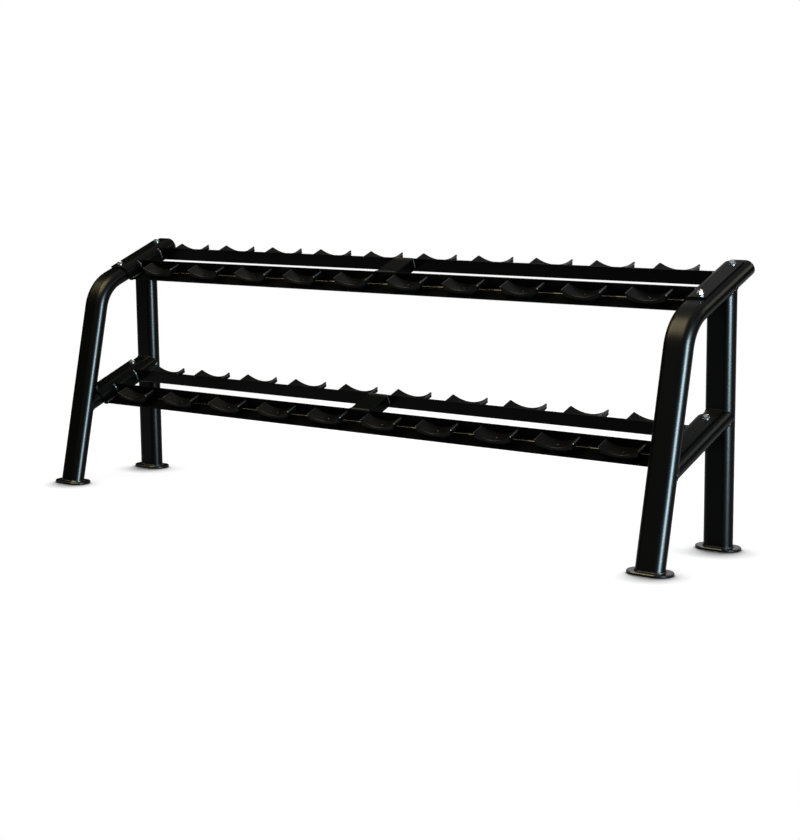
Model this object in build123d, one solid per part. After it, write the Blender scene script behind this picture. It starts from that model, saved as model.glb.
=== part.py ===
"""Two-tier saddle rack for ten pairs of dumbbells, as a bolted assembly of welded pieces.

Two side frames of flat-oval tube carry two sloping shelves. A shelf is a pair of angle rails, folded end
brackets that wrap over the frame's arm and are bolted to it, one mid brace, and moulded saddles screwed
to the rails. X runs along the rack, Y towards its back and Z up. The origin is on the floor, in the
middle of the rack's outline.
"""
import os
from math import cos, radians, sin, tan

from build123d import *

# Dumbbell places, in mm like every length below
saddle_pitch = 220.0
places_per_shelf = 10
end_margin = 181.0            # last saddle's centre to the centre of the side frame

# Side frames
tube_width = 90.0             # flat-oval tube, its flats facing front and back
tube_depth = 50.0
tube_wall = 3.0
foot_spacing = 386.0          # front foot's centre to rear leg's axis
front_leg_lean = 13.0         # degrees from upright
bend_radius = 130.0           # tube's axis, where the front leg turns into the upper arm
foot_length = 140.0
foot_width = 84.0
foot_plate_thickness = 5.0
foot_plate_bevel = 1.5
foot_pad_thickness = 3.0
foot_pad_inset = 1.0
arm_overhang = 132.0          # shelf's centre to the upper arm's open end
cap_thickness = 3.0
cap_plug_depth = 16.0
cap_plug_wall = 2.5
cap_clearance = 0.3

# Shelves: centre of the plane through the rails' top edges, from the rear leg's axis and the floor
shelf_slope = 21.2            # degrees
upper_shelf_y = -27.0
upper_shelf_z = 784.5
lower_shelf_y = -167.0
lower_shelf_z = 355.4
rail_gap = 102.0              # between the two rails' webs
rail_web_height = 47.0
rail_base_width = 64.0
rail_thickness = 4.0
rail_bend_radius = 2.0        # inside the fold
brace_width = 80.0            # rectangular tube, its top level with the rails' top edges
brace_height = 40.0
brace_wall = 3.0
brace_corner_radius = 4.0

# End brackets, folded over the arm
bracket_thickness = 6.0
bracket_length = 240.0
bracket_offset = -6.0         # bracket's centre from the shelf's centre, along the slope
bracket_outer_reach = 26.0    # past the arm's middle on the outside
bracket_drop = 50.0           # folded leg below the arm's top
bracket_corner_radius = 14.0
bracket_clearance = 0.3
bolt_spacing = 198.0

# Bracket bolts, M10
bolt_radius = 5.0
bolt_hole_radius = 5.5
bolt_head_across_flats = 17.0
bolt_head_height = 6.5
washer_radius = 10.5
washer_thickness = 2.0
weld_nut_across_flats = 17.0
weld_nut_height = 8.0
bolt_tail = 2.0               # thread left past the nut
thread_clearance = 0.1

# Saddles
saddle_width = 132.0          # between the wing tips
saddle_depth = 47.0
saddle_rise = 20.0            # wing tips above the middle of the cradle
saddle_thickness = 8.0        # in the middle of the cradle
saddle_end_height = 18.0      # end face of a wing
saddle_end_draft = 3.0        # how far the end face leans in
saddle_land = 3.0             # flat on top of a wing's tip
saddle_rim_radius = 2.0       # round the hollow's front and back edges
saddle_seat_height = 10.0     # block under the middle of the cradle
saddle_seat_width = 60.0
saddle_seat_setback = 6.0     # behind the cradle's front and back faces
saddle_rail_clearance = 4.0   # between the saddle and the rail's web
recess_radius = 7.0
recess_depth = 6.0

# Saddle screws, M6
screw_radius = 3.0
screw_hole_radius = 3.3
screw_head_radius = 6.0
screw_head_height = 3.4
screw_nut_across_flats = 10.0
screw_nut_height = 5.0
screw_tail = 1.5

# Worked out from the sizes above
tube_half_flat = (tube_width - tube_depth) / 2
tube_half_depth = tube_depth / 2
foot_top = foot_pad_thickness + foot_plate_thickness
frame_x = (places_per_shelf - 1) / 2 * saddle_pitch + end_margin
place_x = [(i - (places_per_shelf - 1) / 2) * saddle_pitch for i in range(places_per_shelf)]
slope_cos = cos(radians(shelf_slope))
slope_sin = sin(radians(shelf_slope))
lean_tan = tan(radians(front_leg_lean))
saddle_start = rail_gap / 2 + rail_thickness + saddle_rail_clearance
saddle_middle = saddle_start + saddle_depth / 2
saddle_top = saddle_seat_height + saddle_thickness
rail_floor = -rail_web_height + rail_thickness
rear_reach = upper_shelf_y + (arm_overhang + cap_thickness) * slope_cos + tube_depth * slope_sin
front_reach = foot_spacing + foot_width / 2
rear_leg_y = (front_reach - rear_reach) / 2
front_foot_y = rear_leg_y - foot_spacing
bolt_steps = [bracket_offset - bolt_spacing / 2, bracket_offset + bolt_spacing / 2]
SHELF_HEIGHTS = {"upper": (upper_shelf_y, upper_shelf_z), "lower": (lower_shelf_y, lower_shelf_z)}
SIDES = {"left": -1, "right": 1}


def shelf_plane(tier):
    """Plane of a shelf: its X along the rack, its Y up the slope, its Z square to the slope."""
    from_rear_leg, height = SHELF_HEIGHTS[tier]
    return Plane(
        origin=(0, rear_leg_y + from_rear_leg, height),
        x_dir=(1, 0, 0),
        z_dir=(0, -slope_sin, slope_cos),
    )


def on_shelf(tier, solid):
    """A solid that was drawn in a shelf's own frame, moved to its place in the rack."""
    return shelf_plane(tier).location * solid


def on_side(side, solid):
    """A solid that was drawn for the right side, or its mirror image for the left."""
    return solid if SIDES[side] > 0 else mirror(solid, about=Plane.YZ)


def along_slope(profile, start, end):
    """Extrude a profile that was drawn in X and Z from one place on the slope to another."""
    middle = (start + end) / 2
    return Pos(0, middle, 0) * extrude(Plane.XZ * profile, amount=(end - start) / 2, both=True)


def along_rack(profile, length):
    """Extrude a profile that was drawn in Y and Z evenly to both sides of the rack's middle."""
    return extrude(Plane.YZ * profile, amount=length / 2, both=True)


def upright_cylinder(radius, bottom, top):
    return Pos(0, 0, bottom) * Cylinder(radius, top - bottom, align=(Align.CENTER, Align.CENTER, Align.MIN))


def upright_hexagon(across_flats, bottom, top):
    outline = RegularPolygon(across_flats / 2, 6, major_radius=False)
    return Pos(0, 0, bottom) * extrude(outline, amount=top - bottom)


def tube_section(inset=0.0):
    """Outline of the flat-oval tube, or the same drawn in from it."""
    return SlotOverall(tube_width - 2 * inset, tube_depth - 2 * inset)


def hollow_section():
    return tube_section() - tube_section(tube_wall)


def front_tube_path():
    """Axis of the front tube on the right: up the leg from under the floor, and up the arm to its end."""
    from_rear_leg, height = SHELF_HEIGHTS["upper"]
    arm_y = rear_leg_y + from_rear_leg + tube_half_depth * slope_sin
    arm_z = height - tube_half_depth * slope_cos
    reach = front_foot_y + lean_tan * (arm_z - foot_top) - arm_y
    run = reach / (slope_cos - lean_tan * slope_sin)
    corner = (frame_x, arm_y + run * slope_cos, arm_z + run * slope_sin)
    end = (frame_x, arm_y + arm_overhang * slope_cos, arm_z + arm_overhang * slope_sin)
    start = (frame_x, front_foot_y - lean_tan * (foot_top + tube_depth), -tube_depth)
    return FilletPolyline(start, corner, end, radius=bend_radius)


def sweep_front_tube(section):
    path = front_tube_path()
    start_plane = Plane(origin=path @ 0, x_dir=(1, 0, 0), z_dir=path % 0)
    whole = sweep(start_plane * section, path=path)
    below_plate = Pos(frame_x, front_foot_y, foot_top) * Box(
        4 * tube_width, 8 * tube_depth, 8 * tube_depth, align=(Align.CENTER, Align.CENTER, Align.MAX)
    )
    return whole - below_plate


def rear_leg_column(section):
    """Upright tube that runs on to the upper arm's axis, before it is coped."""
    column = Pos(frame_x, rear_leg_y, foot_top) * extrude(section, amount=upper_shelf_z - foot_top)
    above_axis = Pos(frame_x, 0, -tube_half_depth) * Box(
        2 * tube_width, 2 * upper_shelf_z, upper_shelf_z, align=(Align.CENTER, Align.CENTER, Align.MIN)
    )
    return column - on_shelf("upper", above_axis)


def bolt_holes(tier):
    """Drills for one arm's bracket bolts on the right, through the bracket and the tube's top wall."""
    depth = 2 * (tube_wall + bracket_thickness)
    drills = [
        Pos(frame_x, step, 0) * upright_cylinder(bolt_hole_radius, -depth, depth) for step in bolt_steps
    ]
    return on_shelf(tier, Part() + drills)


def make_front_tube():
    return sweep_front_tube(hollow_section()) - bolt_holes("upper")


def make_rear_leg():
    """The rear leg's top is coped to the underside of the upper arm."""
    return rear_leg_column(hollow_section()) - sweep_front_tube(tube_section())


def make_lower_arm():
    """The lower arm is coped to the back of the front leg and the front of the rear leg."""
    from_rear_leg = lower_shelf_y + tube_half_depth * slope_sin
    height = lower_shelf_z - tube_half_depth * slope_cos
    rear_end = -from_rear_leg / slope_cos
    front_gap = front_foot_y - rear_leg_y + lean_tan * (height - foot_top) - from_rear_leg
    front_end = front_gap / (slope_cos - lean_tan * slope_sin)
    section = Pos(frame_x, -tube_half_depth) * hollow_section()
    arm = on_shelf("lower", along_slope(section, front_end, rear_end))
    return arm - sweep_front_tube(tube_section()) - rear_leg_column(tube_section()) - bolt_holes("lower")


def make_end_cap():
    """Moulded plug in the upper arm's open end."""
    face = Pos(frame_x, -tube_half_depth) * tube_section()
    plug = Pos(frame_x, -tube_half_depth) * tube_section(tube_wall + cap_clearance)
    core = Pos(frame_x, -tube_half_depth) * tube_section(tube_wall + cap_clearance + cap_plug_wall)
    plate = along_slope(face, arm_overhang, arm_overhang + cap_thickness)
    wall = along_slope(plug - core, arm_overhang - cap_plug_depth, arm_overhang)
    return on_shelf("upper", plate + wall)


def make_foot_plate(foot_y):
    outline = SlotOverall(foot_length, foot_width)
    plate = extrude(outline, amount=foot_plate_thickness)
    plate = chamfer(plate.faces().sort_by(Axis.Z)[-1].edges(), foot_plate_bevel)
    return Pos(frame_x, foot_y, foot_pad_thickness) * plate


def make_foot_pad(foot_y):
    outline = SlotOverall(foot_length - 2 * foot_pad_inset, foot_width - 2 * foot_pad_inset)
    return Pos(frame_x, foot_y, 0) * extrude(outline, amount=foot_pad_thickness)


def bracket_fold():
    """Middle of the bracket's fold, and how far its folded leg stands from the arm's middle."""
    fold_x = frame_x - tube_half_flat - bracket_clearance
    return fold_x, fold_x - tube_half_depth


def bracket_profile():
    """End view of the right bracket: flat on the arm, round its inner side and down."""
    fold_x, leg_x = bracket_fold()
    edge_x = frame_x + bracket_outer_reach
    outer_leg_x = leg_x - bracket_thickness
    reach = tube_half_depth + bracket_thickness
    inside = Line((edge_x, 0), (fold_x, 0))
    inside += RadiusArc((fold_x, 0), (leg_x, -tube_half_depth), -tube_half_depth)
    inside += Line((leg_x, -tube_half_depth), (leg_x, -bracket_drop))
    foot = Line((leg_x, -bracket_drop), (outer_leg_x, -bracket_drop))
    outside = Line((outer_leg_x, -bracket_drop), (outer_leg_x, -tube_half_depth))
    outside += RadiusArc((outer_leg_x, -tube_half_depth), (fold_x, bracket_thickness), reach)
    outside += Line((fold_x, bracket_thickness), (edge_x, bracket_thickness))
    lip = Line((edge_x, bracket_thickness), (edge_x, 0))
    return make_face(inside + foot + outside + lip)


def bracket_shadow():
    """All that lies on the frame's side of the right bracket's outer face, to cope the rails' ends."""
    fold_x, leg_x = bracket_fold()
    outer_leg_x = leg_x - bracket_thickness
    far_x = frame_x + tube_width
    far_z = -2 * bracket_drop - rail_web_height
    reach = tube_half_depth + bracket_thickness
    outline = Line((far_x, bracket_thickness), (far_x, far_z))
    outline += Line((far_x, far_z), (outer_leg_x, far_z))
    outline += Line((outer_leg_x, far_z), (outer_leg_x, -tube_half_depth))
    outline += RadiusArc((outer_leg_x, -tube_half_depth), (fold_x, bracket_thickness), reach)
    outline += Line((fold_x, bracket_thickness), (far_x, bracket_thickness))
    half_length = rail_gap / 2 + rail_base_width + rail_web_height
    shadow = along_slope(make_face(outline), -half_length, half_length)
    return shadow + mirror(shadow, about=Plane.YZ)


def make_bracket(tier):
    start = bracket_offset - bracket_length / 2
    plate = along_slope(bracket_profile(), start, start + bracket_length)
    low_corners = plate.edges().filter_by(Axis.X).group_by(Axis.Z)[0]
    plate = fillet(low_corners, bracket_corner_radius)
    return on_shelf(tier, plate) - bolt_holes(tier)


def rail_profile():
    """Section of the rear rail: its web faces the shelf's middle and its base runs outwards."""
    inner = rail_gap / 2
    outline = Polyline(
        (inner, 0),
        (inner, -rail_web_height),
        (inner + rail_base_width, -rail_web_height),
        (inner + rail_base_width, rail_floor),
        (inner + rail_thickness, rail_floor),
        (inner + rail_thickness, 0),
        close=True,
    )
    profile = make_face(outline)
    inside = profile.vertices().sort_by_distance((inner + rail_thickness, rail_floor))[0]
    profile = fillet(inside, rail_bend_radius)
    outside = profile.vertices().sort_by_distance((inner, -rail_web_height))[0]
    return fillet(outside, rail_bend_radius + rail_thickness)


def make_rear_rail():
    """One angle rail in its shelf's frame, coped at both ends to the brackets and drilled for its saddles."""
    rail = along_rack(rail_profile(), 2 * frame_x) - bracket_shadow()
    drill = upright_cylinder(screw_hole_radius, -2 * rail_web_height, 0)
    return rail - [Pos(x, saddle_middle, 0) * drill for x in place_x]


def make_rail(tier, row):
    rail = make_rear_rail()
    return on_shelf(tier, rail if row == "rear" else Rot(0, 0, 180) * rail)


def make_mid_brace(tier):
    """Rectangular tube welded between the two webs."""
    outer = RectangleRounded(brace_width, brace_height, brace_corner_radius)
    bore = RectangleRounded(
        brace_width - 2 * brace_wall, brace_height - 2 * brace_wall, brace_corner_radius - brace_wall
    )
    section = Pos(0, -brace_height / 2) * (outer - bore)
    return on_shelf(tier, along_slope(section, -rail_gap / 2, rail_gap / 2))


def cradle_profile():
    """End view of the cradle: hollow on top, with wings that thicken towards their drafted end faces."""
    tip_x = saddle_width / 2
    hollow_x = tip_x - saddle_land
    heel_x = tip_x - saddle_end_draft
    tip = saddle_top + saddle_rise
    heel = tip - saddle_end_height
    outline = ThreePointArc((-hollow_x, tip), (0, saddle_top), (hollow_x, tip))
    outline += Polyline((hollow_x, tip), (tip_x, tip), (heel_x, heel))
    outline += ThreePointArc((heel_x, heel), (0, saddle_seat_height), (-heel_x, heel))
    outline += Polyline((-heel_x, heel), (-tip_x, tip), (-hollow_x, tip))
    return make_face(outline)


def make_saddle():
    """Moulded cradle that stands on the rear rail's base, in its shelf's frame at the middle of the rack."""
    end = saddle_start + saddle_depth
    cradle = along_slope(cradle_profile(), saddle_start, end)
    hollow = cradle.faces().filter_by(GeomType.CYLINDER).sort_by(Axis.Z)[-1]
    cradle = fillet(hollow.edges().filter_by(GeomType.CIRCLE), saddle_rim_radius)
    seat_depth = saddle_seat_height + saddle_thickness / 2
    seat = Pos(0, seat_depth / 2) * Rectangle(saddle_seat_width, seat_depth)
    body = cradle + along_slope(seat, saddle_start + saddle_seat_setback, end - saddle_seat_setback)
    hole = upright_cylinder(screw_hole_radius, -saddle_top, 2 * saddle_top)
    recess = upright_cylinder(recess_radius, saddle_top - recess_depth, 2 * saddle_top)
    body -= Pos(0, saddle_middle, 0) * (hole + recess)
    return Pos(0, 0, rail_floor) * body


def make_saddle_pair(tier, x, saddle):
    """Rear and front saddle of one dumbbell's place."""
    turned = Rot(0, 0, 180) * saddle
    return Compound(children=[on_shelf(tier, Pos(x, 0, 0) * piece) for piece in (saddle, turned)])


def at_bracket_bolts(piece):
    """Copies of a piece at every bracket bolt; its own Z is square to the arm, from the bracket's top."""
    places = [
        on_shelf(tier, Pos(sign * frame_x, step, bracket_thickness) * piece)
        for tier in SHELF_HEIGHTS
        for sign in SIDES.values()
        for step in bolt_steps
    ]
    return Compound(children=places)


def make_bracket_bolt():
    grip = washer_thickness + bracket_thickness + tube_wall
    tail = washer_thickness - grip - weld_nut_height - bolt_tail
    head = upright_hexagon(bolt_head_across_flats, washer_thickness, washer_thickness + bolt_head_height)
    return head + upright_cylinder(bolt_radius, tail, washer_thickness)


def make_bracket_washer():
    ring = upright_cylinder(washer_radius, 0, washer_thickness)
    return ring - upright_cylinder(bolt_hole_radius, -washer_thickness, 2 * washer_thickness)


def make_weld_nut():
    """Nut welded under the tube's top wall."""
    top = -bracket_thickness - tube_wall
    nut = upright_hexagon(weld_nut_across_flats, top - weld_nut_height, top)
    return nut - upright_cylinder(bolt_radius + thread_clearance, top - 2 * weld_nut_height, 0)


def at_saddle_screws(piece):
    """Copies of a piece at every saddle screw; its own Z is square to the rail's base, from its top face."""
    places = [
        on_shelf(tier, Pos(x, row * saddle_middle, rail_floor) * piece)
        for tier in SHELF_HEIGHTS
        for row in (-1, 1)
        for x in place_x
    ]
    return Compound(children=places)


def make_saddle_screw():
    seat = saddle_top - recess_depth
    tail = -rail_thickness - screw_nut_height - screw_tail
    head = upright_cylinder(screw_head_radius, seat, seat + screw_head_height)
    return head + upright_cylinder(screw_radius, tail, seat)


def make_saddle_nut():
    nut = upright_hexagon(screw_nut_across_flats, -rail_thickness - screw_nut_height, -rail_thickness)
    return nut - upright_cylinder(screw_radius + thread_clearance, -rail_thickness - 2 * screw_nut_height, 0)


def build_frames():
    """Nodes of the two side frames."""
    pieces = {
        "front_tube": make_front_tube(),
        "rear_leg": make_rear_leg(),
        "lower_arm": make_lower_arm(),
        "arm_end_cap": make_end_cap(),
        "front_foot_plate": make_foot_plate(front_foot_y),
        "front_foot_pad": make_foot_pad(front_foot_y),
        "rear_foot_plate": make_foot_plate(rear_leg_y),
        "rear_foot_pad": make_foot_pad(rear_leg_y),
    }
    return {f"{side}_{name}": on_side(side, piece) for side in SIDES for name, piece in pieces.items()}


def build_shelves():
    """Nodes of the two shelves."""
    nodes = {}
    saddle = make_saddle()
    for tier in SHELF_HEIGHTS:
        for row in ("front", "rear"):
            nodes[f"{tier}_{row}_rail"] = make_rail(tier, row)
        for side in SIDES:
            nodes[f"{tier}_{side}_bracket"] = on_side(side, make_bracket(tier))
        nodes[f"{tier}_mid_brace"] = make_mid_brace(tier)
        for number, x in enumerate(place_x, start=1):
            nodes[f"{tier}_saddle_pair_{number:02d}"] = make_saddle_pair(tier, x, saddle)
    return nodes


def build_fasteners():
    """Nodes of the fasteners, one for each kind."""
    return {
        "bracket_bolts": at_bracket_bolts(make_bracket_bolt()),
        "bracket_washers": at_bracket_bolts(make_bracket_washer()),
        "bracket_weld_nuts": at_bracket_bolts(make_weld_nut()),
        "saddle_screws": at_saddle_screws(make_saddle_screw()),
        "saddle_nuts": at_saddle_screws(make_saddle_nut()),
    }


def main():
    os.makedirs("parts", exist_ok=True)
    nodes = build_frames() | build_shelves() | build_fasteners()
    for name, piece in nodes.items():
        export_step(piece, f"parts/{name}.step")


if __name__ == "__main__":
    main()
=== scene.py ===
"""Finishes, welds, fasteners and studio of a two-tier dumbbell rack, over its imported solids."""
from math import atan2, cos, pi, radians, sin, sqrt, tan

import bmesh
import bpy
from mathutils import Matrix, Vector


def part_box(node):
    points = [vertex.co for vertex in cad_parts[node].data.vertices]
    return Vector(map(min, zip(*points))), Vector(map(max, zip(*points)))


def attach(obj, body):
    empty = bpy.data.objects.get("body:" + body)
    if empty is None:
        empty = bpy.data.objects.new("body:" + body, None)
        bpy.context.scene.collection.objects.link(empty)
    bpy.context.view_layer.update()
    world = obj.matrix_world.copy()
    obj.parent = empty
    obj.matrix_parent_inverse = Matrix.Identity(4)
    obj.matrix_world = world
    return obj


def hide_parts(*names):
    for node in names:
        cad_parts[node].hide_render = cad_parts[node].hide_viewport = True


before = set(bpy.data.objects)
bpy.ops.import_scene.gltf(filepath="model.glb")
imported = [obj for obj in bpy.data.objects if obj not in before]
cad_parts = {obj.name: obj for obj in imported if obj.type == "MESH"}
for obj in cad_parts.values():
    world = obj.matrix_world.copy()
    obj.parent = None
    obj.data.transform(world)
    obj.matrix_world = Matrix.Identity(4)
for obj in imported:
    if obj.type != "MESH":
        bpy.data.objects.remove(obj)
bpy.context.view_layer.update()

bl_info = {
    "name": "Dumbbell Rack Finishes",
    "version": (1, 0, 0),
    "blender": (4, 5, 0),
    "location": "3D View > Sidebar > Rack",
    "description": "Paints a two-tier dumbbell rack, adds its welds and fasteners, and sets up its studio",
    "category": "Object",
}

BODY = "root"
TIERS = ("upper", "lower")
SIDES = (-1, 1)  # left and right side frame
ROWS = (-1, 1)  # front and rear rail of a shelf
PLACES = 10  # dumbbells on a shelf

MERGE_DISTANCE = 1e-6
LEAST_RUN = 1e-9
PAINTED_TOP_LIGHT = 2.0  # painted light: how much lighter the same coat is made on the foot plates and end brackets, for the overhead light on their tops

# Weld beads: corners of a bead's section, steps round a tube and down a rail's web, and the width
# of a ripple's trough and of a bead's two ends against its crest.
BEAD_SIDES = 8
OVAL_POINTS = 120
WEB_STEPS = 8
TROUGH = 0.84
END_TAPER = 0.7
STEADY = Vector((0.31, 0.52, 0.79))  # no bead runs along it, so rings that are turned to it don't twist
NEARLY_ALONG = 0.99
FOLD_STEPS = 8  # faces round the inside of a rail's fold

# Sockets of the Mix node that only their index tells apart.
MIX_FACTOR, MIX_DARK, MIX_LIGHT, MIX_RESULT = 0, 6, 7, 2

# Contact shadows on the floor: the side that the light comes from, how near a thing has to be to
# shade it, rays for each point, and the ramp from shade to open floor.
LIGHT_SIDE = (-0.45, 0.65, 0.45)
CONTACT_REACH = 0.12
CONTACT_SAMPLES = 16
CONTACT_STOPS = ((0.58, 0.0), (0.96, 1.0))

FLOOR_SIDES = 96
FLOOR_DROP = 0.0002  # keeps the floor clear of the pads' undersides

# Dark sheets out of the picture, seen only in gloss as painted dark reflections: name, place, turn about Z and
# half size.
WALLS = (
    ("left_wall", (-6.0, 0.5, 3.5), pi / 2, (6.5, 3.5, 1.0)),
    ("right_wall", (6.0, 7.0, 2.0), 0.0, (4.0, 2.0, 1.0)),
)

# Softboxes: name, place, target, size, watts, colour, and whether it lights more than gloss.
LAMPS = (
    ("key_softbox", (0.3, -0.6, 7.5), (0.0, 0.0, 0.5), (8.0, 6.0), 200.0, (1.0, 1.0, 1.0), True),
    ("side_wall", (5.5, -2.1, 1.3), (0.8, 0.0, 0.5), (2.0, 2.8), 9000.0, (0.64, 0.88, 1.0), False),
    ("warm_bank", (-2.6, -2.2, 4.5), (-2.6, -2.2, 0.0), (4.6, 3.0), 1750.0, (1.0, 0.86, 0.5), False),
    ("arm_box", (3.6, 2.9, 2.9), (0.8, 0.1, 0.7), (1.6, 1.6), 75.0, (1.0, 0.93, 0.8), False),
)


def middle(node):
    """Centre of a solid of the rack."""
    low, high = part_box(node)
    return (Vector(low) + Vector(high)) / 2


def extent(node):
    """Size of a solid of the rack along X, Y and Z."""
    low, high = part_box(node)
    return Vector(high) - Vector(low)


def length_property(name, description, default):
    return bpy.props.FloatProperty(name=name, description=description, unit="LENGTH", default=default)


def angle_property(name, description, default):
    return bpy.props.FloatProperty(name=name, description=description, subtype="ANGLE", default=default)


def colour_property(name, description, default):
    return bpy.props.FloatVectorProperty(name=name, description=description, subtype="COLOR", default=default)


class RackSizes(bpy.types.PropertyGroup):
    """Sizes that the welds and fasteners are laid out by."""

    slope: angle_property("Shelf Slope", "Rise of the shelves towards the back", radians(21.2))
    lean: angle_property("Leg Lean", "Lean of the front legs from upright", radians(13.0))
    tube_width: length_property("Tube Width", "Flat-oval tube across its flats", extent("right_rear_leg").x)
    tube_depth: length_property("Tube Depth", "Flat-oval tube between its flats", extent("right_rear_leg").y)
    frame_x: length_property(
        "Frame Place", "Middle of a side frame from the middle of the rack", middle("right_rear_leg").x
    )
    rear_leg_y: length_property("Rear Leg Place", "Axis of the rear legs", middle("right_rear_leg").y)
    front_foot_y: length_property(
        "Front Foot Place", "Axis of the front legs on their plates", middle("right_front_foot_plate").y
    )
    foot_top: length_property("Foot Height", "Top of the foot plates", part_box("right_front_foot_plate")[1][2])
    brace_width: length_property("Brace Width", "Mid brace along the rack", extent("upper_mid_brace").x)
    brace_depth: length_property("Brace Depth", "Middle of the brace under the rails' top edges", 0.020)
    brace_height: length_property("Brace Height", "Brace square to the slope", 0.040)
    rail_gap: length_property("Rail Gap", "Between the two rails' webs", 0.102)
    rail_height: length_property("Rail Height", "Height of a rail's web", 0.047)
    rail_base: length_property("Rail Base", "Width of a rail's base", 0.064)
    rail_thickness: length_property("Rail Thickness", "Sheet that the rails are folded from", 0.004)
    fold_radius: length_property("Fold Radius", "Inside of a rail's painted fold", 0.006)
    fold_skin: length_property("Fold Skin", "Depth of the rounded fold into the rail", 0.0015)
    bracket_thickness: length_property(
        "Bracket Thickness", "Plate that the end brackets are folded from", 0.006
    )
    bracket_clearance: length_property("Bracket Clearance", "Between the folded leg and the tube", 0.0003)
    bracket_offset: length_property("Bracket Offset", "Middle of the bolts along the slope", -0.006)
    bolt_spacing: length_property("Bolt Spacing", "Between a bracket's two bolts", 0.198)
    washer_thickness: length_property("Washer Thickness", "Washer under a bolt's head", 0.002)
    bolt_across_flats: length_property("Bolt Head", "Hexagon across its flats", 0.017)
    bolt_head_height: length_property("Bolt Head Height", "Height of a bolt's head", 0.0065)
    bolt_corner: length_property("Bolt Corner", "How far a head's corners are turned down", 0.0011)
    bolt_dish: length_property("Bolt Dish", "Depth of the dish in a bolt's head", 0.0005)
    bolt_radius: length_property("Bolt Radius", "Shank of a bracket bolt", 0.005)
    bolt_tail: length_property("Bolt Length", "Shank below the bracket's top", 0.019)
    saddle_pitch: length_property(
        "Saddle Pitch", "Between neighbouring saddles",
        middle("upper_saddle_pair_02").x - middle("upper_saddle_pair_01").x,
    )
    saddle_width: length_property(
        "Saddle Width", "Between a saddle's wing tips", extent("upper_saddle_pair_01").x
    )
    saddle_depth: length_property("Saddle Depth", "Saddle along the slope", 0.047)
    saddle_height: length_property("Saddle Height", "Wing tips over the rail's base", 0.038)
    lip_radius: length_property("Lip Radius", "Rolled lip along a wing's tip", 0.0032)
    saddle_middle: length_property("Saddle Place", "Middle of a saddle from the shelf's middle", 0.0825)
    screw_seat: length_property("Screw Seat", "Seat of a screw's head over the rail's base", 0.012)
    screw_head_radius: length_property("Screw Head", "Radius of a saddle screw's head", 0.006)
    screw_head_height: length_property("Screw Head Height", "Height of a saddle screw's head", 0.0034)
    recess_depth: length_property("Recess Depth", "Cross recess of a saddle screw", 0.0012)
    recess_rim: length_property("Recess Rim", "Metal left between the blades of the recess", 0.0002)
    screw_radius: length_property("Screw Radius", "Shank of a saddle screw", 0.003)
    screw_tail: length_property("Screw Length", "Shank below the base's top", 0.0105)


class RackWelds(bpy.types.PropertyGroup):
    """Sizes of the weld beads."""

    foot_radius: length_property("Foot Bead", "Bead round a leg's base", 0.0032)
    tube_radius: length_property("Tube Bead", "Bead round a coped tube's end", 0.0026)
    rail_radius: length_property("Rail Bead", "Bead at a rail's end and on a brace", 0.0032)
    ripple: length_property("Ripple", "Length of one ripple of a bead", 0.0042)
    edge_gap: length_property("Edge Gap", "A rail's bead stops this far from the rail's edges", 0.002)
    fold_gap: length_property("Fold Gap", "A bead stops this far from an outside fold or corner", 0.008)
    corner: length_property("Corner", "Bead's short cut round a brace's corner", 0.003)


class RackFinishes(bpy.types.PropertyGroup):
    """Colours of the finishes."""

    paint: colour_property("Powder Coat", "Black satin powder coat", (0.0014, 0.0014, 0.0013))
    moulding: colour_property("Saddle Plastic", "Dark moulded plastic", (0.0014, 0.0014, 0.0012))
    cap: colour_property("Cap Plastic", "Black moulded plastic", (0.005, 0.005, 0.005))
    rubber: colour_property("Foot Rubber", "Black rubber", (0.008, 0.008, 0.008))
    zinc: colour_property("Bright Zinc", "Bright zinc plate", (0.2, 0.2, 0.2))
    dull_zinc: colour_property("Dull Zinc", "Dull zinc plate", (0.52, 0.52, 0.51))


class RackStudio(bpy.types.PropertyGroup):
    """Camera and the light of its surroundings."""

    camera_place: bpy.props.FloatVectorProperty(
        name="Camera Place", description="Where the camera stands", subtype="XYZ",
        default=(3.6913, -4.5284, 1.2003),
    )
    heading: angle_property("Heading", "Camera's turn from the back wall", -0.66792)
    pitch: angle_property("Pitch", "Camera's tilt", -0.1539)
    roll: angle_property("Roll", "Camera's roll", -0.0101)
    lens: bpy.props.FloatProperty(name="Lens", description="Focal length in millimetres", default=82.836)
    ambient: bpy.props.FloatProperty(name="Ambient", description="Plain light from all round", default=0.45)
    floor_radius: length_property("Floor Radius", "Radius of the floor", 2.6)
    floor_lift: bpy.props.FloatProperty(
        name="Floor Lift", description="How far the floor is lifted to white", default=0.78
    )


class Wire:
    """A node's output that Python's operators turn into Math nodes."""

    def __init__(self, tree, socket):
        self.tree = tree
        self.socket = socket

    def _math(self, operation, left, right):
        return self.tree.node("ShaderNodeMath", {"operation": operation}, {0: left, 1: right})

    def __add__(self, other):
        return self._math("ADD", self, other)

    def __sub__(self, other):
        return self._math("SUBTRACT", self, other)

    def __mul__(self, other):
        return self._math("MULTIPLY", self, other)

    def at_least(self, other):
        return self._math("MAXIMUM", self, other)


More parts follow.
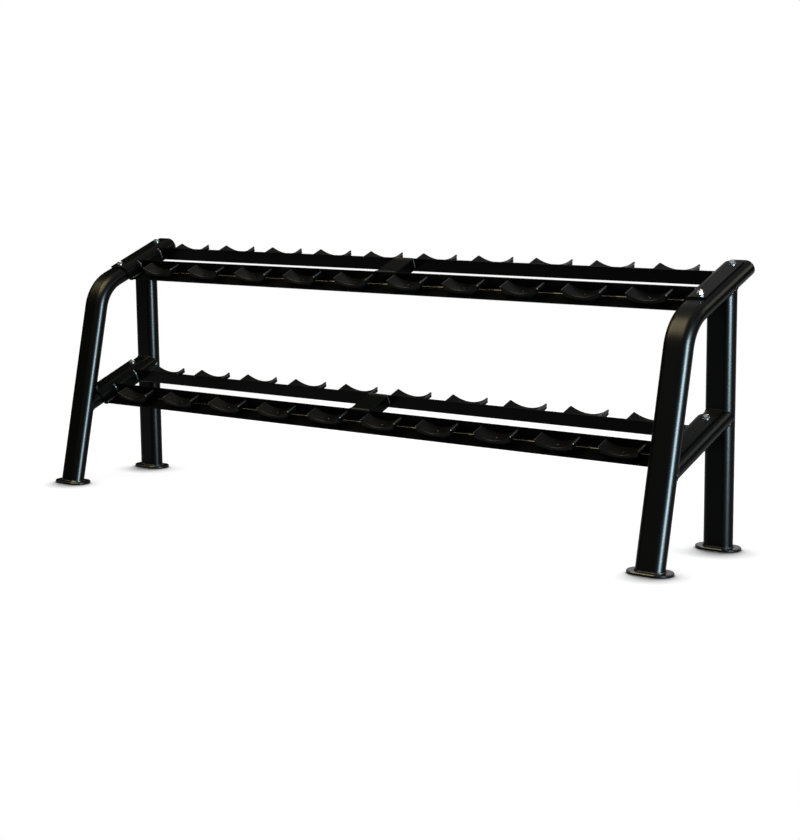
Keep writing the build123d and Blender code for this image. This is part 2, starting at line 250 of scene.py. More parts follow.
class Tree:
    """A node tree that is written as expressions."""

    def __init__(self, node_tree):
        self.nodes = node_tree.nodes
        self.links = node_tree.links
        self.nodes.clear()

    def node(self, kind, settings=None, inputs=None, output=0):
        """Adds a node, with its settings first and then its sockets' values or links."""
        made = self.nodes.new(kind)
        for name, value in (settings or {}).items():
            setattr(made, name, value)
        for key, value in (inputs or {}).items():
            if isinstance(value, Wire):
                self.links.new(value.socket, made.inputs[key])
            else:
                made.inputs[key].default_value = value
        return Wire(self, made.outputs[output]) if made.outputs else None

    def ramp(self, factor, stops):
        """A grey ramp from (place, level) stops."""
        made = self.node("ShaderNodeValToRGB", inputs={"Fac": factor})
        elements = made.socket.node.color_ramp.elements
        while len(elements) < len(stops):
            elements.new(1.0)
        for element, (place, level) in zip(elements, stops):
            element.position = place
            element.color = grey(level)
        return made

    def mix_colour(self, factor, dark, light):
        """A colour between two."""
        sockets = {MIX_FACTOR: factor, MIX_DARK: dark, MIX_LIGHT: light}
        return self.node("ShaderNodeMix", {"data_type": "RGBA"}, sockets, output=MIX_RESULT)

    def mix_shader(self, factor, first, second):
        """The second shader where the factor is one."""
        return self.node("ShaderNodeMixShader", inputs={0: factor, 1: first, 2: second})

    def object_place(self):
        """Coordinates of the object itself, which a finish's grain lies in."""
        return self.node("ShaderNodeTexCoord", output="Object")

    def noise(self, place, scale, detail=2.0, roughness=0.5):
        """Grain of a size, with a number of finer layers."""
        sockets = {"Vector": place, "Scale": scale, "Detail": detail, "Roughness": roughness}
        return self.node("ShaderNodeTexNoise", inputs=sockets)

    def bump(self, height, strength, distance):
        """A normal that follows a height."""
        sockets = {"Strength": strength, "Distance": distance, "Height": height}
        return self.node("ShaderNodeBump", inputs=sockets)

    def surface(self, sockets):
        """A Principled shader on the material's output, from its sockets' values or links."""
        self.output("ShaderNodeOutputMaterial", self.node("ShaderNodeBsdfPrincipled", inputs=sockets))

    def output(self, kind, shader):
        """Puts a shader on the tree's output."""
        self.node(kind, inputs={"Surface": shader})


def rgba(colour, factor=1.0):
    """A colour, lighter or darker by a factor, with its alpha."""
    return (colour[0] * factor, colour[1] * factor, colour[2] * factor, 1.0)


def grey(level):
    return (level, level, level, 1.0)


def new_tree(name):
    """A new material, and its empty node tree."""
    material = bpy.data.materials.new(name)
    material.use_nodes = True
    return material, Tree(material.node_tree)


def powder_coat(name, colour, roughness, gloss):
    """Satin powder coat: a fine orange peel, and slow drifts of gloss and depth."""
    material, tree = new_tree(name)
    place = tree.object_place()
    peel = tree.noise(place, scale=520.0, detail=1.0, roughness=0.4)
    speck = tree.noise(place, scale=1900.0, detail=0.0)
    drift = tree.noise(place, scale=7.0, detail=3.0)
    tree.surface({
        "Base Color": tree.mix_colour(drift, rgba(colour, 0.8), rgba(colour, 1.25)),
        "Roughness": drift * 0.07 + speck * 0.03 + (roughness - 0.05),
        "Specular IOR Level": gloss,
        "Normal": tree.bump(peel * 0.8 + speck * 0.2, strength=0.05, distance=0.0006),
    })
    return material


def weld_paint(name, colour, gloss):
    """The same coat where it has flowed over weld beads, with a little spatter."""
    material, tree = new_tree(name)
    place = tree.object_place()
    spatter = tree.noise(place, scale=900.0, roughness=0.6)
    tree.surface({
        "Base Color": tree.mix_colour(spatter, rgba(colour, 0.8), rgba(colour, 1.6)),
        "Roughness": spatter * 0.12 + 0.24,
        "Specular IOR Level": gloss,
        "Normal": tree.bump(spatter, strength=0.25, distance=0.0008),
    })
    return material


def moulded_plastic(name, colour, roughness, gloss):
    """Moulded plastic with a leathery grain and faint flow marks."""
    material, tree = new_tree(name)
    place = tree.object_place()
    grain = tree.node(
        "ShaderNodeTexVoronoi", {"feature": "DISTANCE_TO_EDGE"}, {"Vector": place, "Scale": 850.0}
    )
    pits = tree.ramp(grain, ((0.0, 0.0), (0.22, 1.0)))
    flow = tree.noise(place, scale=22.0, detail=4.0, roughness=0.6)
    tree.surface({
        "Base Color": tree.mix_colour(flow, rgba(colour, 0.78), rgba(colour, 1.28)),
        "Roughness": flow * 0.12 - pits * 0.06 + roughness,
        "Specular IOR Level": gloss,
        "Normal": tree.bump(pits, strength=0.08, distance=0.0004),
    })
    return material


def foot_rubber(name, colour, gloss):
    """Rubber with a dull bloom and a fine pitted skin."""
    material, tree = new_tree(name)
    place = tree.object_place()
    skin = tree.noise(place, scale=1300.0, roughness=0.6)
    bloom = tree.noise(place, scale=35.0, detail=3.0)
    tree.surface({
        "Base Color": tree.mix_colour(bloom, rgba(colour, 0.7), rgba(colour, 1.5)),
        "Roughness": bloom * 0.15 + 0.7,
        "Specular IOR Level": gloss,
        "Normal": tree.bump(skin, strength=0.2, distance=0.0005),
    })
    return material


def zinc_plate(name, colour, roughness):
    """Zinc plate with turning marks and slight clouding."""
    material, tree = new_tree(name)
    place = tree.object_place()
    marks = tree.noise(place, scale=2600.0, detail=1.0)
    cloud = tree.noise(place, scale=160.0, detail=3.0, roughness=0.6)
    tree.surface({
        "Base Color": tree.mix_colour(cloud, rgba(colour, 0.86), rgba(colour, 1.0)),
        "Metallic": 1.0,
        "Roughness": cloud * 0.14 + (roughness - 0.07),
        "Normal": tree.bump(marks, strength=0.08, distance=0.0003),
    })
    return material


def coat(nodes, material):
    """Gives solids of the rack a finish."""
    for node in nodes:
        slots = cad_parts[node].data.materials
        slots.clear()
        slots.append(material)


def named(*endings):
    """Names of the solids with one of these endings."""
    return [node for node in sorted(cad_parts) if node.endswith(endings)]


def shelf_origin(tier, sizes):
    """Middle of the plane through a shelf's rail edges, from its mid brace."""
    return middle(f"{tier}_mid_brace") + slope_normal(sizes) * sizes.brace_depth


def slope_along(sizes):
    """Direction up the slope."""
    return Vector((0, cos(sizes.slope), sin(sizes.slope)))


def slope_normal(sizes):
    """Direction square to the slope."""
    return Vector((0, -sin(sizes.slope), cos(sizes.slope)))


def on_shelf(tier, sizes, x, along, height):
    """Point of a shelf from its place along the rack, up the slope and square to it."""
    return (
        shelf_origin(tier, sizes)
        + Vector((x, 0, 0))
        + slope_along(sizes) * along
        + slope_normal(sizes) * height
    )


def shelf_matrix(tier, sizes, x, along, height):
    """Place on a shelf with Z square to the slope."""
    turn = Matrix.Rotation(sizes.slope, 4, "X")
    return Matrix.Translation(on_shelf(tier, sizes, x, along, height)) @ turn


def saddle_x(number, sizes):
    """Place of a saddle along the rack, counted from the left."""
    return (number - (PLACES - 1) / 2) * sizes.saddle_pitch


def base_top(sizes):
    """Height of a rail's base, where its saddles stand, from the shelf's plane."""
    return -sizes.rail_height + sizes.rail_thickness


def oval(sizes, count=OVAL_POINTS):
    """Points round the tube's flat-oval section, evenly spaced, as (across, deep)."""
    radius = sizes.tube_depth / 2
    flat = sizes.tube_width / 2 - radius
    girth = 4 * flat + 2 * pi * radius
    points = []
    for step in range(count):
        run = girth * step / count
        if run < 2 * flat:
            points.append((run - flat, radius))
        elif run < 2 * flat + pi * radius:
            angle = (run - 2 * flat) / radius
            points.append((flat + radius * sin(angle), radius * cos(angle)))
        elif run < 4 * flat + pi * radius:
            points.append((flat - (run - 2 * flat - pi * radius), -radius))
        else:
            angle = (run - 4 * flat - pi * radius) / radius
            points.append((-flat - radius * sin(angle), -radius * cos(angle)))
    return points


def half_depth(sizes, across):
    """Half the tube's depth at a distance from its middle."""
    radius = sizes.tube_depth / 2
    past_flat = max(abs(across) - (sizes.tube_width / 2 - radius), 0.0)
    return sqrt(max(radius**2 - past_flat**2, 0.0))


def resample(points, spacing, closed):
    """Points at an even spacing along a line of points."""
    line = list(points) + ([points[0]] if closed else [])
    runs = [(b - a).length for a, b in zip(line, line[1:])]
    total = sum(runs)
    count = max(int(round(total / spacing)), 2)
    stations = []
    index = 0
    passed = 0.0
    for step in range(count if closed else count + 1):
        want = total * step / count
        while index < len(runs) - 1 and passed + runs[index] < want:
            passed += runs[index]
            index += 1
        part = min(max((want - passed) / max(runs[index], LEAST_RUN), 0.0), 1.0)
        stations.append(line[index].lerp(line[index + 1], part))
    return stations


def tangent(stations, index, closed):
    """Direction of a line at one of its stations."""
    count = len(stations)
    if closed:
        ahead = stations[(index + 1) % count] - stations[index - 1]
    else:
        ahead = stations[min(index + 1, count - 1)] - stations[max(index - 1, 0)]
    return ahead.normalized()


def ring_matrix(point, ahead, scale):
    """Places a ring of radius one across a bead's line."""
    along = STEADY.dot(ahead)
    if abs(along) < NEARLY_ALONG:
        side = (STEADY - ahead * along).normalized()
    else:
        side = ahead.orthogonal().normalized()
    turn = Matrix((side, ahead.cross(side), ahead)).transposed().to_4x4()
    return Matrix.Translation(point) @ turn @ Matrix.Scale(scale, 4)


def new_verts(geometry):
    """The vertices among what an operation made."""
    return [item for item in geometry if isinstance(item, bmesh.types.BMVert)]


def add_bead(mesh, points, radius, welds, closed):
    """Runs a rippled weld bead along a line: a ring is extruded from one station to the next."""
    stations = resample(points, welds.ripple / 2, closed)
    verts = bmesh.ops.create_circle(mesh, cap_ends=False, segments=BEAD_SIDES, radius=1.0)["verts"]
    edges = list(dict.fromkeys(edge for vert in verts for edge in vert.link_edges))
    first_edges = edges
    place = Matrix.Identity(4)
    for index, point in enumerate(stations):
        swell = 1.0 if index % 2 else TROUGH
        taper = END_TAPER if not closed and index in (0, len(stations) - 1) else 1.0
        wanted = ring_matrix(point, tangent(stations, index, closed), radius * swell * taper)
        if index:
            grown = bmesh.ops.extrude_edge_only(mesh, edges=edges)["geom"]
            verts = new_verts(grown)
            edges = [
                item for item in grown
                if isinstance(item, bmesh.types.BMEdge) and all(vert in verts for vert in item.verts)
            ]
        bmesh.ops.transform(mesh, matrix=wanted @ place.inverted(), verts=verts)
        place = wanted
    if closed:
        bmesh.ops.bridge_loops(mesh, edges=first_edges + edges)
    else:
        bmesh.ops.holes_fill(mesh, edges=first_edges + edges, sides=BEAD_SIDES)


def add_cylinder(mesh, radius, bottom, top, sides):
    """A closed upright cylinder, or a prism of a few sides."""
    depth = top - bottom
    made = bmesh.ops.create_cone(
        mesh, cap_ends=True, cap_tris=False, segments=sides, radius1=radius, radius2=radius, depth=depth
    )
    bmesh.ops.translate(mesh, vec=(0, 0, bottom + depth / 2), verts=made["verts"])


def round_off(mesh, edges, offset, steps):
    """Rounds edges off."""
    bmesh.ops.bevel(
        mesh, geom=list(edges), offset=offset, affect="EDGES", segments=steps, profile=0.5, material=-1
    )


def highest(mesh):
    """Topmost face of a mesh."""
    return max(mesh.faces, key=lambda face: face.calc_center_median().z)


def bearing(face):
    """Direction of a face from the Z axis."""
    centre = face.calc_center_median()
    return atan2(centre.y, centre.x)


def spread(mesh, places):
    """Copies all of a mesh to several places, and keeps only the copies."""
    made = mesh.verts[:] + mesh.edges[:] + mesh.faces[:]
    first = mesh.verts[:]
    for place in places:
        copy = bmesh.ops.duplicate(mesh, geom=made)["geom"]
        bmesh.ops.transform(mesh, matrix=place, verts=new_verts(copy))
    bmesh.ops.delete(mesh, geom=first, context="VERTS")


def new_object(name, mesh, material):
    """Makes a finished bmesh an object of one material."""
    data = bpy.data.meshes.new(name)
    mesh.to_mesh(data)
    mesh.free()
    data.materials.append(material)
    made = bpy.data.objects.new(name, data)
    bpy.context.scene.collection.objects.link(made)
    return made


def add_piece(name, mesh, material, replaced=()):
    """Makes a finished bmesh a piece of the rack."""
    bmesh.ops.remove_doubles(mesh, verts=mesh.verts[:], dist=MERGE_DISTANCE)
    bmesh.ops.recalc_face_normals(mesh, faces=mesh.faces[:])
    piece = new_object(name, mesh, material)
    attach(piece, BODY)
    if replaced:
        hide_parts(*replaced)
    return piece


def shade_round(piece, angle=radians(35)):
    """Smooth shading, with edges sharper than an angle kept."""
    for polygon in piece.data.polygons:
        polygon.use_smooth = True
    piece.data.set_sharp_from_angle(angle=angle)


class RACK_OT_paint_frames(bpy.types.Operator):
    """Gives the side frames and foot plates their powder coat"""

    bl_idname = "rack.paint_frames"
    bl_label = "Paint Side Frames"

    def execute(self, context):
        colour = context.scene.rack_finishes.paint
        tubes = named("front_tube", "rear_leg", "lower_arm")
        coat(tubes, powder_coat("frame_powder_coat", colour, roughness=0.29, gloss=0.028))
        # Painted light: the foot plates get the coat made lighter, for the overhead light on their tops.
        light = rgba(colour, PAINTED_TOP_LIGHT)
        coat(named("foot_plate"), powder_coat("foot_powder_coat", light, roughness=0.26, gloss=0.085))
        return {"FINISHED"}


class RACK_OT_paint_shelves(bpy.types.Operator):
    """Gives the rails, mid braces and end brackets their powder coat"""

    bl_idname = "rack.paint_shelves"
    bl_label = "Paint Shelves"

    def execute(self, context):
        colour = context.scene.rack_finishes.paint
        rails = named("_rail", "mid_brace")
        coat(rails, powder_coat("rail_powder_coat", colour, roughness=0.30, gloss=0.016))
        # Painted light: the end brackets get the coat made lighter, for the overhead light on their tops.
        light = rgba(colour, PAINTED_TOP_LIGHT)
        coat(named("_bracket"), powder_coat("bracket_powder_coat", light, roughness=0.30, gloss=0.02))
        return {"FINISHED"}


class RACK_OT_finish_mouldings(bpy.types.Operator):
    """Gives the saddles, arm caps and foot pads their plastics and rubber"""

    bl_idname = "rack.finish_mouldings"
    bl_label = "Finish Mouldings"

    def execute(self, context):
        finishes = context.scene.rack_finishes
        saddles = [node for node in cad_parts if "saddle_pair" in node]
        coat(saddles, moulded_plastic("saddle_plastic", finishes.moulding, roughness=0.30, gloss=0.034))
        caps = named("arm_end_cap")
        coat(caps, moulded_plastic("cap_plastic", finishes.cap, roughness=0.42, gloss=0.06))
        coat(named("foot_pad"), foot_rubber("pad_rubber", finishes.rubber, gloss=0.01))
        return {"FINISHED"}


class RACK_OT_plate_fasteners(bpy.types.Operator):
    """Gives the washers and hidden nuts their zinc"""

    bl_idname = "rack.plate_fasteners"
    bl_label = "Plate Washers and Nuts"

    def execute(self, context):
        finishes = context.scene.rack_finishes
        coat(["bracket_washers"], zinc_plate("washer_zinc", finishes.zinc, roughness=0.26))
        nuts = ["bracket_weld_nuts", "saddle_nuts"]
        coat(nuts, zinc_plate("nut_zinc", finishes.dull_zinc, roughness=0.4))
        return {"FINISHED"}


class RACK_OT_foot_welds(bpy.types.Operator):
    """Runs a weld bead round the base of every leg"""

    bl_idname = "rack.foot_welds"
    bl_label = "Foot Welds"

    def execute(self, context):
        sizes = context.scene.rack_sizes
        welds = context.scene.rack_welds
        paint = weld_paint("foot_weld_paint", context.scene.rack_finishes.paint, gloss=0.12)
        mesh = bmesh.new()
        for side in SIDES:
            for foot_y, stretch in (
                (sizes.rear_leg_y, 1.0),
                (sizes.front_foot_y, 1.0 / cos(sizes.lean)),
            ):
                line = [
                    Vector((side * sizes.frame_x + across, foot_y + deep * stretch, sizes.foot_top))
                    for across, deep in oval(sizes)
                ]
                add_bead(mesh, line, welds.foot_radius, welds, closed=True)
        shade_round(add_piece("foot_welds", mesh, paint))
        return {"FINISHED"}


class RACK_OT_tube_welds(bpy.types.Operator):
    """Runs weld beads round the coped ends of the lower arms and the tops of the rear legs"""

    bl_idname = "rack.tube_welds"
    bl_label = "Tube Welds"

    def execute(self, context):
        sizes = context.scene.rack_sizes
        welds = context.scene.rack_welds
        paint = weld_paint("tube_weld_paint", context.scene.rack_finishes.paint, gloss=0.05)
        mesh = bmesh.new()
        for side in SIDES:
            for line in (
                self.arm_front(sizes, side),
                self.arm_rear(sizes, side),
                self.leg_top(sizes, side),
            ):
                add_bead(mesh, line, welds.tube_radius, welds, closed=True)
        shade_round(add_piece("tube_welds", mesh, paint))
        return {"FINISHED"}

    def arm_line(self, sizes, side):
        """Points round the lower arm's section at the shelf's middle."""
        depth = sizes.tube_depth / 2
        return [
            (across, on_shelf("lower", sizes, side * sizes.frame_x + across, 0.0, deep - depth))
            for across, deep in oval(sizes)
        ]

    def arm_rear(self, sizes, side):
        """Where the lower arm meets the front of the rear leg."""
        along = slope_along(sizes)
        return [
            start + along * ((sizes.rear_leg_y - half_depth(sizes, across) - start.y) / along.y)
            for across, start in self.arm_line(sizes, side)
        ]

    def arm_front(self, sizes, side):
        """Where the lower arm meets the back of the front leg."""
        along = slope_along(sizes)
        line = []
        for across, start in self.arm_line(sizes, side):
            face_y = sizes.front_foot_y + half_depth(sizes, across) / cos(sizes.lean)
            face_y += tan(sizes.lean) * (start.z - sizes.foot_top)
            line.append(start + along * ((face_y - start.y) / (along.y - tan(sizes.lean) * along.z)))
        return line

    def leg_top(self, sizes, side):
        """Where the rear leg meets the underside of the upper arm."""
        origin = shelf_origin("upper", sizes)
        normal = slope_normal(sizes)
        line = []
        for across, deep in oval(sizes):
            point = Vector((side * sizes.frame_x + across, sizes.rear_leg_y + deep, 0))
            height = -sizes.tube_depth / 2 - half_depth(sizes, across)
            point.z = origin.z + (height - normal.y * (point.y - origin.y)) / normal.z
            line.append(point)
        return line


class RACK_OT_rail_welds(bpy.types.Operator):
    """Runs weld beads where the rails end on the brackets"""

    bl_idname = "rack.rail_welds"
    bl_label = "Rail End Welds"

    def execute(self, context):
        sizes = context.scene.rack_sizes
        welds = context.scene.rack_welds
        paint = weld_paint("rail_weld_paint", context.scene.rack_finishes.paint, gloss=0.45)
        mesh = bmesh.new()
        for tier in TIERS:
            for side in SIDES:
                for row in ROWS:
                    for corners in self.runs(sizes, welds):
                        line = [self.on_bracket(sizes, tier, side, row * s, n) for s, n in corners]
                        add_bead(mesh, line, welds.rail_radius, welds, closed=False)
        shade_round(add_piece("rail_end_welds", mesh, paint))
        return {"FINISHED"}

    def runs(self, sizes, welds):
        """The web's inner face, its outer face with the base's top, and the base's underside."""
        inner = sizes.rail_gap / 2
        outer = inner + sizes.rail_thickness
        edge = inner + sizes.rail_base - welds.edge_gap
        under = -sizes.rail_height
        drop = under + welds.fold_gap + welds.edge_gap
        heights = [-welds.edge_gap + drop * step / WEB_STEPS for step in range(WEB_STEPS + 1)]
        web_inside = [(inner, height) for height in heights]
        web_outside = [(outer, height) for height in heights[:-1]]
        top = base_top(sizes)
        web_outside += [(outer, top), (edge, top)]
        base_under = [(inner + welds.fold_gap, under), (edge, under)]
        return web_inside, web_outside, base_under

    def on_bracket(self, sizes, tier, side, along, height):
        """Point of a bracket's outer face at a place on the slope and a height."""
        radius = sizes.tube_depth / 2
        fold = sizes.tube_width / 2 - radius + sizes.bracket_clearance
        reach = radius + sizes.bracket_thickness
        over_fold = max(height + radius, 0.0)
        out = fold + sqrt(reach**2 - over_fold**2)
        return on_shelf(tier, sizes, side * (sizes.frame_x - out), along, height)


class RACK_OT_rail_folds(bpy.types.Operator):
    """Rounds the inside of the rails' folds, where the paint lies thick and glossy"""

    bl_idname = "rack.rail_folds"
    bl_label = "Rail Folds"

    def execute(self, context):
        sizes = context.scene.rack_sizes
        mesh = bmesh.new()
        self.add_fold(mesh, sizes)
        mirrored = Matrix.Scale(-1, 4, (0, 1, 0))
        places = []
        for tier in TIERS:
            front = shelf_matrix(tier, sizes, 0.0, 0.0, 0.0)
            places += [front, front @ mirrored]
        spread(mesh, places)
        colour = context.scene.rack_finishes.paint
        paint = powder_coat("fold_powder_coat", colour, roughness=0.18, gloss=0.09)
        shade_round(add_piece("rail_folds", mesh, paint))
        return {"FINISHED"}

    def add_fold(self, mesh, sizes):
        """A quarter round between the web and the base's top, from one end bracket to the other."""
        radius = sizes.fold_radius
        web = -sizes.rail_gap / 2 - sizes.rail_thickness
        high = base_top(sizes) + radius
        end = sizes.frame_x - sizes.tube_width / 2 - sizes.bracket_clearance - sizes.bracket_thickness
        start = bmesh.ops.create_vert(mesh, co=(-end, web, high))["vert"]
        bmesh.ops.spin(
            mesh, geom=start, cent=(-end, web - radius, high), axis=(1, 0, 0), angle=-pi / 2, steps=FOLD_STEPS
        )
        grown = bmesh.ops.extrude_edge_only(mesh, edges=mesh.edges[:])["geom"]
        bmesh.ops.translate(mesh, vec=(2 * end, 0, 0), verts=new_verts(grown))
        bmesh.ops.recalc_face_normals(mesh, faces=mesh.faces[:])
        bmesh.ops.solidify(mesh, geom=mesh.faces[:], thickness=sizes.fold_skin)


class RACK_OT_brace_welds(bpy.types.Operator):
    """Runs weld beads where the mid braces meet the rails"""

    bl_idname = "rack.brace_welds"
    bl_label = "Brace Welds"

    def execute(self, context):
        sizes = context.scene.rack_sizes
        welds = context.scene.rack_welds
        paint = weld_paint("brace_weld_paint", context.scene.rack_finishes.paint, gloss=0.2)
        mesh = bmesh.new()
        half = sizes.brace_width / 2
        top = -sizes.brace_depth + sizes.brace_height / 2
        bottom = top - sizes.brace_height
        cut = welds.corner
        corners = [
            (-half, bottom + welds.fold_gap),
            (-half, top - cut),
            (-half + cut, top),
            (half - cut, top),
            (half, top - cut),
            (half, bottom + welds.fold_gap),
        ]
        for tier in TIERS:
            for row in ROWS:
                line = [on_shelf(tier, sizes, x, row * sizes.rail_gap / 2, height) for x, height in corners]
                add_bead(mesh, line, welds.rail_radius, welds, closed=False)
        shade_round(add_piece("brace_welds", mesh, paint))
        return {"FINISHED"}


class RACK_OT_bracket_bolts(bpy.types.Operator):
    """Builds the hexagon bolts of the end brackets"""

    bl_idname = "rack.bracket_bolts"
    bl_label = "Bracket Bolts"

    def execute(self, context):
        sizes = context.scene.rack_sizes
        mesh = bmesh.new()
        self.add_bolt(mesh, sizes)
        places = []
        for tier in TIERS:
            for side in SIDES:
                for end in (-1, 1):
                    along = sizes.bracket_offset + end * sizes.bolt_spacing / 2
                    place = shelf_matrix(tier, sizes, side * sizes.frame_x, along, sizes.bracket_thickness)
                    as_tightened = 0.4 * end + 0.7 * side
                    places.append(place @ Matrix.Rotation(as_tightened, 4, "Z"))
        spread(mesh, places)
        zinc = zinc_plate("bolt_zinc", context.scene.rack_finishes.zinc, roughness=0.15)
        piece = add_piece("bracket_bolt_set", mesh, zinc, ("bracket_bolts",))
        shade_round(piece, angle=radians(28))
        return {"FINISHED"}

    def add_bolt(self, mesh, sizes):
        """A hexagon head that is turned down at its corners, with a dished top, on a plain shank."""
        corner = sizes.bolt_across_flats / sqrt(3)
        rim = sizes.bolt_across_flats * 0.08
        dish_wall = sizes.bolt_across_flats * 0.05
        seat = sizes.washer_thickness
        add_cylinder(mesh, corner, seat, seat + sizes.bolt_head_height, sides=6)
        round_off(mesh, highest(mesh).edges, sizes.bolt_corner, steps=2)
        crown = highest(mesh)
        bmesh.ops.inset_individual(mesh, faces=[crown], thickness=rim, depth=0.0)
        bmesh.ops.inset_individual(mesh, faces=[crown], thickness=dish_wall, depth=-sizes.bolt_dish)
        add_cylinder(mesh, sizes.bolt_radius, -sizes.bolt_tail, seat, sides=20)


class RACK_OT_saddle_screws(bpy.types.Operator):
    """Builds the cross-head screws in the saddles"""

    bl_idname = "rack.saddle_screws"
    bl_label = "Saddle Screws"

    def execute(self, context):
        sizes = context.scene.rack_sizes
        mesh = bmesh.new()
        self.add_screw(mesh, sizes)
        places = []
        for tier in TIERS:
            for row in ROWS:
                for number in range(PLACES):
                    x = saddle_x(number, sizes)
                    place = shelf_matrix(tier, sizes, x, row * sizes.saddle_middle, base_top(sizes))
                    as_tightened = 0.9 * number + row
                    places.append(place @ Matrix.Rotation(as_tightened, 4, "Z"))
        spread(mesh, places)
        zinc = zinc_plate("screw_zinc", context.scene.rack_finishes.zinc, roughness=0.24)
        piece = add_piece("saddle_screw_set", mesh, zinc, ("saddle_screws",))
        shade_round(piece)
        return {"FINISHED"}

    def add_screw(self, mesh, sizes):
        """A domed head with a cross recess, on a plain shank."""
        blades = 4
        height = sizes.screw_head_height
        seat = sizes.screw_seat
        add_cylinder(mesh, sizes.screw_head_radius, seat, seat + height, sides=4 * blades)
        dome = height * 0.55
        round_off(mesh, highest(mesh).edges, dome, steps=3)
        wedges = sorted(bmesh.ops.poke(mesh, faces=[highest(mesh)])["faces"], key=bearing)
        for wedge in wedges[:: len(wedges) // blades]:
            bmesh.ops.inset_individual(
                mesh, faces=[wedge], thickness=sizes.recess_rim, depth=-sizes.recess_depth
            )
        add_cylinder(mesh, sizes.screw_radius, -sizes.screw_tail, seat, sides=12)


class RACK_OT_saddle_lips(bpy.types.Operator):
    """Rolls a lip along the tips of the saddles' wings"""

    bl_idname = "rack.saddle_lips"
    bl_label = "Saddle Lips"

    def execute(self, context):
        sizes = context.scene.rack_sizes
        radius = sizes.lip_radius
        half_length = (sizes.saddle_depth - radius / 2) / 2
        rounding = radius * 0.8
        mesh = bmesh.new()
        add_cylinder(mesh, radius, -half_length, half_length, sides=16)
        ends = [face for face in mesh.faces if len(face.verts) > 4]
        round_off(mesh, [edge for face in ends for edge in face.edges], rounding, steps=4)
        bmesh.ops.rotate(mesh, matrix=Matrix.Rotation(pi / 2, 3, "X"), verts=mesh.verts[:])
        height = base_top(sizes) + sizes.saddle_height - rounding
        reach = sizes.saddle_width / 2
        places = []
        for tier in TIERS:
            for row in ROWS:
                for number in range(PLACES):
                    for wing in (-1, 1):
                        x = saddle_x(number, sizes) + wing * reach
                        places.append(shelf_matrix(tier, sizes, x, row * sizes.saddle_middle, height))
        spread(mesh, places)
        colour = context.scene.rack_finishes.moulding
        plastic = moulded_plastic("lip_plastic", colour, roughness=0.26, gloss=0.16)
        shade_round(add_piece("saddle_lips", mesh, plastic))
        return {"FINISHED"}


